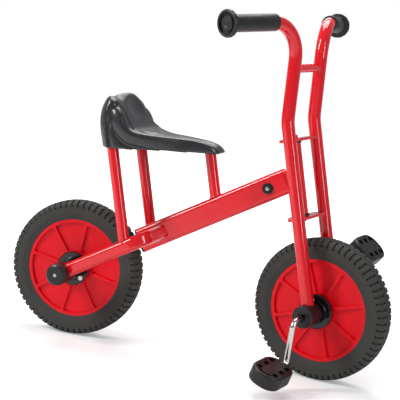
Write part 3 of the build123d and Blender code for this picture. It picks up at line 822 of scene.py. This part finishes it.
# ---------------------------------------------------------------- joints and fixings
@dataclass(frozen=True)
class WeldBead:
    """A fillet of weld round a tube where it meets another piece.

    Args:
        name: the bead's name.
        body: the body that it rides on.
        centre: middle of the joint.
        axis: the tube's direction.
        face: normal of the surface that the tube meets.
        radius: the tube's radius.
        wrap: radius of the tube that it lies round, or 0 on a flat face.
        throat: half the bead's width.
        ripples: how many ripples lie round it.
        facets: how many faces go round the bead's own section.
        stand_off: how far the middle of the bead lies outside the tube.
        trough: how deep the ripples are.
        crease: angle in degrees from which an edge stays sharp.
        upright: share of Y from which an axis counts as running along it.
    """

    name: str
    body: str
    centre: Vector
    axis: Vector
    face: Vector
    radius: float
    wrap: float = 0.0
    throat: float = 1.8 * MM
    ripples: int = 30
    facets: int = 8
    stand_off: float = 0.2 * MM
    trough: float = 0.25 * MM
    crease: float = 50.0
    upright: float = 0.9

    def build(self) -> None:
        """Lays the bead: a rippled ring, leaned so that it lies on the surface met."""
        clear_selection()
        bpy.ops.mesh.primitive_torus_add(
            major_segments=self.ripples * 2,
            minor_segments=self.facets,
            major_radius=self.radius + self.stand_off,
            minor_radius=self.throat,
        )
        bead = named(self.name)
        pick_faces(bead, lambda face: self.is_trough(face.center))
        press(self.trough)
        axis, face = self.axis.normalized(), self.face.normalized()
        for point in bead.data.vertices:
            flat = Vector((point.co.x, point.co.y, 0))
            point.co.z -= (face.x * flat.x + face.y * flat.y) / face.z
            if self.wrap:
                point.co.z += self.wrap - math.sqrt(max(self.wrap**2 - flat.x**2, 0.0))
        smooth(bead, self.crease)
        frame_axis = Vector((0, 1, 0)) if abs(axis.y) < self.upright else UP
        x_axis = frame_axis.cross(axis).normalized()
        place = Matrix((x_axis, axis.cross(x_axis), axis)).transposed().to_4x4()
        place.translation = self.centre
        settle(bead, place)
        fit(bead, self.body, RED_PAINT)

    def is_trough(self, spot: Vector) -> bool:
        """Tells whether a place round the ring lies between two ripples."""
        return int(math.atan2(spot.y, spot.x) / TURN % 1.0 * self.ripples * 2) % 2 == 0


@dataclass
class Welds:
    """All the weld beads of the frame and the fork.

    Args:
        post_radius: radius of a saddle post.
        bar_radius: radius of the handlebar's crossbar.
        tube_radius: radius of a fork tube.
        half_spacing: from the fork's middle to the middle of a tube.
        bar_throat: half the width of the crossbar's beads.
        slope: rise of the beam and the stays.
        stay_half_height: half the height of a stay.
        beam_half_height: half the height of the beam.
        post_feet: (name, distance along the slope from the rear axle, place to the left).
    """

    post_radius: float = 12.5 * MM
    bar_radius: float = 9.0 * MM
    tube_radius: float = 14.0 * MM
    half_spacing: float = 63.5 * MM
    bar_throat: float = 2.3 * MM
    slope: float = math.radians(29.6)
    stay_half_height: float = 16.0 * MM
    beam_half_height: float = 28.0 * MM
    post_feet: tuple[tuple[str, float, float], ...] = (
        ("rear_left", 164.3 * MM, 91.0 * MM),
        ("rear_right", 164.3 * MM, -91.0 * MM),
        ("front", 366.0 * MM, 0.0),
    )

    def posts(self) -> None:
        """Welds each saddle post to what carries it."""
        axle = joint("rear_wheel_spin")[0]
        axis = joint("steering")[1]
        along = Vector((math.cos(self.slope), 0, math.sin(self.slope)))
        lean = math.atan2(-axis.x, axis.z)
        local_face = Vector((math.sin(lean - self.slope), 0, math.cos(lean - self.slope)))
        for name, foot, left in self.post_feet:
            half = self.beam_half_height if name == "front" else self.stay_half_height
            rise = half / math.cos(self.slope - lean)
            centre = axle + along * foot + Vector((0, left, 0)) + axis * rise
            WeldBead(
                f"weld_post_{name}", "frame", centre, axis, local_face, self.post_radius
            ).build()

    def crossbar(self) -> None:
        """Welds the handlebar's crossbar to both fork tubes."""
        centre = middle("handlebar_crossbar")
        axle = joint("front_wheel_spin")[1]
        reach = self.half_spacing - self.tube_radius
        for name, side in SIDES.items():
            WeldBead(
                f"weld_crossbar_{name}",
                "fork",
                centre + axle * side * reach,
                axle * side,
                UP,
                self.bar_radius,
                self.tube_radius,
                self.bar_throat,
            ).build()

    def build(self) -> None:
        """Lays every bead."""
        self.posts()
        self.crossbar()


@dataclass
class Fixings:
    """Screws and nuts: the beam bolt's end, the rear axle's cap screws and the stays' nuts.

    Args:
        screw_facets: how many faces go round a screw.
        screw_steps: insets of its head: (share of its radius, share of its height).
        screw_crease: angle in degrees from which a screw's edge stays sharp.
        sink: how far a screw sits into its cap.
        bolt_end: radius and height of the beam bolt's end.
        cap_screw: radius and height of a rear cap's screw.
        nut_facets: how many flats a nut has.
        nut_radius: a nut's radius over its corners.
        nut_height: a nut's height.
        nut_steps: insets of the nut and the bolt's end: (in from the edge, out from the face).
        nut_crease: angle in degrees from which a nut's edge stays sharp.
        nut_place: (forward, out, up) from the rear axle's middle to a nut.
        facing: how near along Z a face has to look to be an end face.
    """

    screw_facets: int = 36
    screw_steps: Profile = ((0.25, 0.25), (0.2, 0.05), (0.02, -0.6))
    screw_crease: float = 40.0
    sink: float = 0.6 * MM
    bolt_end: tuple[float, float] = (4.2 * MM, 1.6 * MM)
    cap_screw: tuple[float, float] = (3.6 * MM, 1.5 * MM)
    nut_facets: int = 6
    nut_radius: float = 5.51 * MM
    nut_height: float = 5.0 * MM
    nut_steps: Profile = ((1.4 * MM, 1.0 * MM), (0.8 * MM, 4.0 * MM), (0.8 * MM, 0.6 * MM))
    nut_crease: float = 30.0
    nut_place: tuple[float, float, float] = (41.0 * MM, 78.0 * MM, -8.0 * MM)
    facing: float = 0.9

    def seat(self, node: str, side: float) -> Vector:
        """Finds where a screw sits in its cap.

        Args:
            node: the cap's node.
            side: 1 for the left, -1 for the right.

        Returns:
            The middle of the screw's seat.
        """
        low, high = (Vector(corner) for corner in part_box(node))
        out = high.y if side > 0 else low.y
        return Vector(((low.x + high.x) / 2, out - side * self.sink, (low.z + high.z) / 2))

    def screw(self, name: str, centre: Vector, outward: Vector, size: tuple[float, float]) -> None:
        """Makes a domed socket screw.

        Args:
            name: its name.
            centre: middle of its seat.
            outward: the way its head faces.
            size: the head's radius and height.
        """
        radius, height = size
        clear_selection()
        bpy.ops.mesh.primitive_cylinder_add(
            vertices=self.screw_facets, radius=radius, depth=height
        )
        head = named(name)
        pick_faces(head, lambda face: face.normal.z > self.facing)
        for inward, outgoing in self.screw_steps:
            bpy.ops.mesh.inset(thickness=radius * inward, depth=height * outgoing)
        self.mount(head, centre + outward * height * 0.5, outward, self.screw_crease)

    def nut(self, name: str, centre: Vector, outward: Vector) -> None:
        """Makes the nut and bolt end that stands in from a rear stay by its housing.

        Args:
            name: its name.
            centre: its outer face, against the stay.
            outward: from the wheel to the stay.
        """
        clear_selection()
        bpy.ops.mesh.primitive_cylinder_add(
            vertices=self.nut_facets, radius=self.nut_radius, depth=self.nut_height
        )
        nut = named(name)
        pick_faces(nut, lambda face: face.normal.z < -self.facing)
        for inward, outgoing in self.nut_steps:
            bpy.ops.mesh.inset(thickness=inward, depth=outgoing)
        self.mount(nut, centre, outward, self.nut_crease)

    @staticmethod
    def mount(piece: bpy.types.Object, centre: Vector, outward: Vector, crease: float) -> None:
        """Shades a screw or nut, turns it outward and mounts it on the frame.

        Args:
            piece: the screw or nut.
            centre: where its middle goes.
            outward: the way its Z axis turns.
            crease: angle in degrees from which its edges stay sharp.
        """
        clear_selection()
        smooth(piece, crease)
        settle(piece, outward.to_track_quat("Z", "Y").to_matrix().to_4x4())
        settle(piece, Matrix.Translation(centre))
        fit(piece, "frame", ZINC)

    def build(self) -> None:
        """Fits every screw and nut."""
        axle = joint("rear_wheel_spin")[0]
        ahead, out, above = self.nut_place
        for name, side in SIDES.items():
            outward = Vector((0, side, 0))
            bolt = self.seat(f"beam_bolt_cap_{name}", side)
            self.screw(f"beam_bolt_end_{name}", bolt, outward, self.bolt_end)
            cap = self.seat(f"rear_axle_cap_{name}", side)
            self.screw(f"rear_cap_screw_{name}", cap, outward, self.cap_screw)
            self.nut(f"stay_nut_{name}", axle + Vector((ahead, side * out, above)), outward)


# ---------------------------------------------------------------- handlebar grips
@dataclass
class Grip:
    """Rubber grip with mould lines along it and a hollowed, notched flange at its end.

    Args:
        name: "left" or "right".
        side: 1 for the left, -1 for the right.
        sweep: how far the grip turns back.
        rise: how far it turns up.
        length: its length.
        end_band: depth of the band of points that counts as its outer end.
        notches: how many notches the flange has.
        notch_steps: turning steps from one notch to the next.
        notch_width: width of a notch, as a share of that.
        notch_depth: how deep a notch is.
        notch_radius: radius from which the flange is notched.
        line_step: the step of a half turn that holds a mould line.
        line_height: how far a mould line stands out.
        line_reach: where along the sleeve the mould lines start and end.
        line_radius: radius of the sleeve's outside.
        crease: angle in degrees from which an edge stays sharp.
        section: (radius, place along) points in millimetres, all round the section.
    """

    name: str
    side: float
    sweep: float = math.radians(17.0)
    rise: float = math.radians(0.8)
    length: float = 137.4 * MM
    end_band: float = 0.2 * MM
    notches: int = 12
    notch_steps: int = 12
    notch_width: float = 0.2
    notch_depth: float = 1.5 * MM
    notch_radius: float = 26.6 * MM
    line_step: int = 9
    line_height: float = 0.3 * MM
    line_reach: tuple[float, float] = (3.0 * MM, 118.0 * MM)
    line_radius: float = 17.0 * MM
    crease: float = 32.0
    section: Profile = (
        (14.2, 0.0), (15.4, 0.0), (17.0, 0.8), (18.0, 2.6), (17.9, 60.0), (17.9, 118.0),
        (18.6, 123.0), (20.6, 126.6), (24.0, 128.0), (26.2, 128.2), (27.6, 129.4), (28.0, 131.0),
        (28.0, 134.4), (27.2, 136.2), (25.6, 137.0), (23.2, 137.0), (22.2, 136.2), (21.4, 131.6),
        (20.4, 130.6), (16.8, 130.4), (16.0, 131.2), (15.6, 134.6), (14.6, 135.4), (9.0, 135.2),
        (7.6, 134.4), (0.0, 134.2), (0.0, 133.2), (14.2, 133.2), (14.2, 0.0),
    )

    def direction(self) -> Vector:
        """Works out the way the grip points.

        Returns:
            The direction from its inner end out.
        """
        steering = joint("steering")[1]
        across = joint("front_wheel_spin")[1]
        ahead = across.cross(steering).normalized()
        level = math.cos(self.rise)
        out = across * self.side * math.cos(self.sweep) * level
        back = ahead * math.sin(self.sweep) * level
        return (out - back + steering * math.sin(self.rise)).normalized()

    def inner_end(self, direction: Vector) -> Vector:
        """Finds the grip's inner end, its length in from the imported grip's outer end.

        Args:
            direction: the way the grip points.

        Returns:
            The middle of its inner end.
        """
        points = [Vector(vertex.co) for vertex in frame["nodes"][f"grip_{self.name}"].data.vertices]
        reach = [point.dot(direction) for point in points]
        outermost = max(reach) - self.end_band
        outer = [point for point, far in zip(points, reach) if far > outermost]
        return sum(outer, Vector()) / len(outer) - direction * self.length

    def build(self) -> None:
        """Turns the sleeve and its flange, notches the flange and mounts them."""
        direction = self.direction()
        profile = [(radius * MM, along * MM) for radius, along in self.section]
        grip = turned(f"grip_sleeve_{self.name}", profile, self.notch_steps * self.notches)
        pick_faces(grip, self.in_notch)
        press(self.notch_depth)
        pick_faces(grip, self.on_mould_line)
        press(-self.line_height)
        smooth(grip, self.crease)
        settle(grip, basis(self.inner_end(direction), direction, UP))
        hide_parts(f"grip_{self.name}")
        fit(grip, "fork", GRIP_RUBBER)

    def on_mould_line(self, face: bpy.types.MeshPolygon) -> bool:
        """Tells whether a face lies on a mould line: two lines, opposite each other.

        Args:
            face: the face.

        Returns:
            Whether it lies on one.
        """
        centre = face.center
        start, end = self.line_reach
        steps = self.notch_steps * self.notches // 2
        turn = math.atan2(centre.z, centre.x) / math.pi % 1.0 * steps
        outside = math.hypot(centre.x, centre.z) > self.line_radius
        return int(turn) == self.line_step and start < centre.y < end and outside

    def in_notch(self, face: bpy.types.MeshPolygon) -> bool:
        """Tells whether a face lies in one of the shallow notches round the flange.

        Args:
            face: the face.

        Returns:
            Whether it lies in one.
        """
        centre = face.center
        turn = math.atan2(centre.z, centre.x) / TURN % 1.0 * self.notches
        outside = math.hypot(centre.x, centre.z) > self.notch_radius
        return turn % 1.0 < self.notch_width and outside


# ---------------------------------------------------------------- studio
@dataclass
class Lamp:
    """One soft box.

    Args:
        name: its name.
        place: where it stands.
        aim: what it points at.
        width: its width.
        height: its height.
        power: its power in watts.
    """

    name: str
    place: tuple[float, float, float]
    aim: tuple[float, float, float]
    width: float
    height: float
    power: float

    def build(self) -> None:
        """Stands the soft box."""
        light = bpy.data.lights.new(self.name, "AREA")
        light.energy = self.power
        light.shape = "RECTANGLE"
        light.size = self.width
        light.size_y = self.height
        stand = bpy.data.objects.new(self.name, light)
        stand.location = self.place
        sight = Vector(self.aim) - Vector(self.place)
        stand.rotation_euler = sight.to_track_quat("-Z", "Y").to_euler()
        bpy.context.scene.collection.objects.link(stand)


@dataclass
class Studio:
    """White floor, white surroundings, soft boxes and the camera.

    Args:
        eye: where the camera stands.
        pan: how far it is turned to its left.
        tilt: how far it looks down.
        roll: how far it is rolled.
        lens: its focal length in millimetres.
        sensor: its sensor's width in millimetres.
        floor_size: side of the floor.
        floor_paint: grey level of the floor.
        floor_roughness: how matt it is.
        floor_glow: how its own light grows outward: distances, then strengths.
        sky: colour of the light from all round.
        sky_level: its strength.
        mirrored: how much of the white surroundings a reflection shows.
        lamps: the soft boxes.
    """

    eye: Vector = field(default_factory=lambda: Vector((0.7526, -2.4195, 0.2152)))
    pan: float = math.radians(16.149)
    tilt: float = math.radians(7.909)
    roll: float = math.radians(6.177)
    lens: float = 102.46
    sensor: float = 36.0
    floor_size: float = 14.0
    floor_paint: float = 0.86
    floor_roughness: float = 0.9
    floor_glow: tuple[float, float, float, float] = (0.9, 2.4, 0.27, 1.0)
    sky: tuple[float, float, float] = (0.9, 0.93, 1.0)
    sky_level: float = 0.26
    mirrored: float = 0.13
    lamps: Iterable[Lamp] = (
        Lamp("overhead", (-0.2, 0.8, 2.3), (0, 0, -0.1), 2.0, 1.6, 62.0),
        Lamp("key", (-2.1, -1.7, 1.7), (0, 0, -0.1), 0.6, 1.6, 76.0),
        Lamp("side", (2.4, -1.3, 0.9), (0, 0, -0.1), 0.35, 1.8, 22.0),
        Lamp("back", (-0.6, 2.2, 1.5), (0, 0, -0.1), 1.6, 0.5, 9.0),
    )

    def camera(self) -> None:
        """Sets the camera: a longish lens, level with the saddle and a little rolled."""
        level = math.cos(self.tilt)
        away = (math.sin(self.pan) * level, -math.cos(self.pan) * level, math.sin(self.tilt))
        back = Vector(away)
        right = Vector((math.cos(self.pan), math.sin(self.pan), 0))
        up = back.cross(right)
        across = math.cos(self.roll) * right + math.sin(self.roll) * up
        upward = math.cos(self.roll) * up - math.sin(self.roll) * right
        data = bpy.data.cameras.new("camera")
        data.sensor_width = self.sensor
        data.lens = self.lens
        data.dof.use_dof = False
        camera = bpy.data.objects.new("camera", data)
        bpy.context.scene.collection.objects.link(camera)
        aimed = Matrix((across, upward, back)).transposed().to_4x4()
        camera.matrix_world = Matrix.Translation(self.eye) @ aimed
        bpy.context.scene.camera = camera

    def surroundings(self) -> None:
        """Makes the world plain light, and white where the camera or a reflection sees it."""
        world = bpy.data.worlds.new("surroundings")
        bpy.context.scene.world = world
        world.use_nodes = True
        nodes, links = world.node_tree.nodes, world.node_tree.links
        light = nodes["Background"]
        set_sockets(light, {"Color": (*self.sky, 1.0), "Strength": self.sky_level})
        white = nodes.new("ShaderNodeBackground")
        set_sockets(white, {"Color": (1.0, 1.0, 1.0, 1.0), "Strength": 1.0})
        path = nodes.new("ShaderNodeLightPath")
        seen = nodes.new("ShaderNodeMath")
        seen.operation = "MULTIPLY_ADD"
        seen.use_clamp = True
        seen.inputs[1].default_value = self.mirrored
        mix = nodes.new("ShaderNodeMixShader")
        links.new(path.outputs["Is Glossy Ray"], seen.inputs[0])
        links.new(path.outputs["Is Camera Ray"], seen.inputs[2])
        links.new(seen.outputs["Value"], mix.inputs["Fac"])
        links.new(light.outputs["Background"], mix.inputs[1])
        links.new(white.outputs["Background"], mix.inputs[2])
        links.new(mix.outputs["Shader"], nodes["World Output"].inputs["Surface"])

    def floor(self) -> None:
        """Lays the pale floor, which reads as white in open light and keeps the shadows."""
        clear_selection()
        level = CAD_BOX[0][2]
        bpy.ops.mesh.primitive_plane_add(size=self.floor_size, location=(0, 0, level))
        floor = named("floor")
        material = bpy.data.materials.new("floor_paint")
        material.use_nodes = True
        nodes, links = material.node_tree.nodes, material.node_tree.links
        shader = nodes["Principled BSDF"]
        set_sockets(shader, {
            "Base Color": (*[self.floor_paint] * 3, 1.0),
            "Roughness": self.floor_roughness,
            "Specular IOR Level": 0.0,
        })
        place = nodes.new("ShaderNodeTexCoord")
        away = nodes.new("ShaderNodeVectorMath")
        away.operation = "LENGTH"
        fade = nodes.new("ShaderNodeMapRange")
        set_sockets(fade, dict(zip(("From Min", "From Max", "To Min", "To Max"), self.floor_glow)))
        glow = nodes.new("ShaderNodeEmission")
        path = nodes.new("ShaderNodeLightPath")
        shown = nodes.new("ShaderNodeMath")
        shown.operation = "MULTIPLY"
        both = nodes.new("ShaderNodeAddShader")
        links.new(place.outputs["Object"], away.inputs[0])
        links.new(away.outputs["Value"], fade.inputs["Value"])
        links.new(fade.outputs["Result"], shown.inputs[0])
        links.new(path.outputs["Is Camera Ray"], shown.inputs[1])
        links.new(shown.outputs["Value"], glow.inputs["Strength"])
        links.new(shader.outputs["BSDF"], both.inputs[0])
        links.new(glow.outputs["Emission"], both.inputs[1])
        links.new(both.outputs["Shader"], nodes["Material Output"].inputs["Surface"])
        floor.data.materials.append(material)

    def build(self) -> None:
        """Sets the whole studio."""
        self.camera()
        self.surroundings()
        self.floor()
        for lamp in self.lamps:
            lamp.build()
        bpy.context.scene.view_settings.view_transform = "Standard"


# ---------------------------------------------------------------- the bicycle
PACKED_FINISHES = {
    "front_disc": RED_PLASTIC,
    "rear_disc": RED_PLASTIC,
    "front_hub": HUB_PLASTIC,
    "rear_hub": HUB_PLASTIC,
    "front_housing": HOUSING_PLASTIC,
    "rear_housing": HOUSING_PLASTIC,
    "rear_spacer": HOUSING_PLASTIC,
    "rear_axle_cap": HOUSING_PLASTIC,
    "rear_axle": CHROME,
    "crank": CHROME,
    "pedal": PEDAL_RUBBER,
    "grip": GRIP_RUBBER,
    "fork_tube": RED_PAINT,
    "handlebar": RED_PAINT,
    "steering": RED_PAINT,
    "main_beam": RED_PAINT,
    "beam_plug": HOUSING_PLASTIC,
    "head_tube": RED_PAINT,
    "head_stub": RED_PAINT,
    "head_bushing": HOUSING_PLASTIC,
    "beam_bolt": ZINC,
    "beam_bolt_cap": HUB_PLASTIC,
    "rear_stay": RED_PAINT,
    "seat_post": RED_PAINT,
    "saddle": SADDLE_PLASTIC,
    "front_tyre": TYRE_RUBBER,
    "rear_tyre": TYRE_RUBBER,
}


def main() -> None:
    """Builds the studio and the bicycle's pieces in order."""
    logging.basicConfig(level=logging.INFO)
    Studio().build()
    dress_nodes(PACKED_FINISHES)
    Tyre("front", "front_wheel", "front_wheel_spin").build()
    Tyre("rear", "rear_wheel", "rear_wheel_spin").build()
    Saddle().build()
    for name, side in SIDES.items():
        Grip(name, side).build()
    Welds().build()
    Fixings().build()


if __name__ == "__main__":
    main()
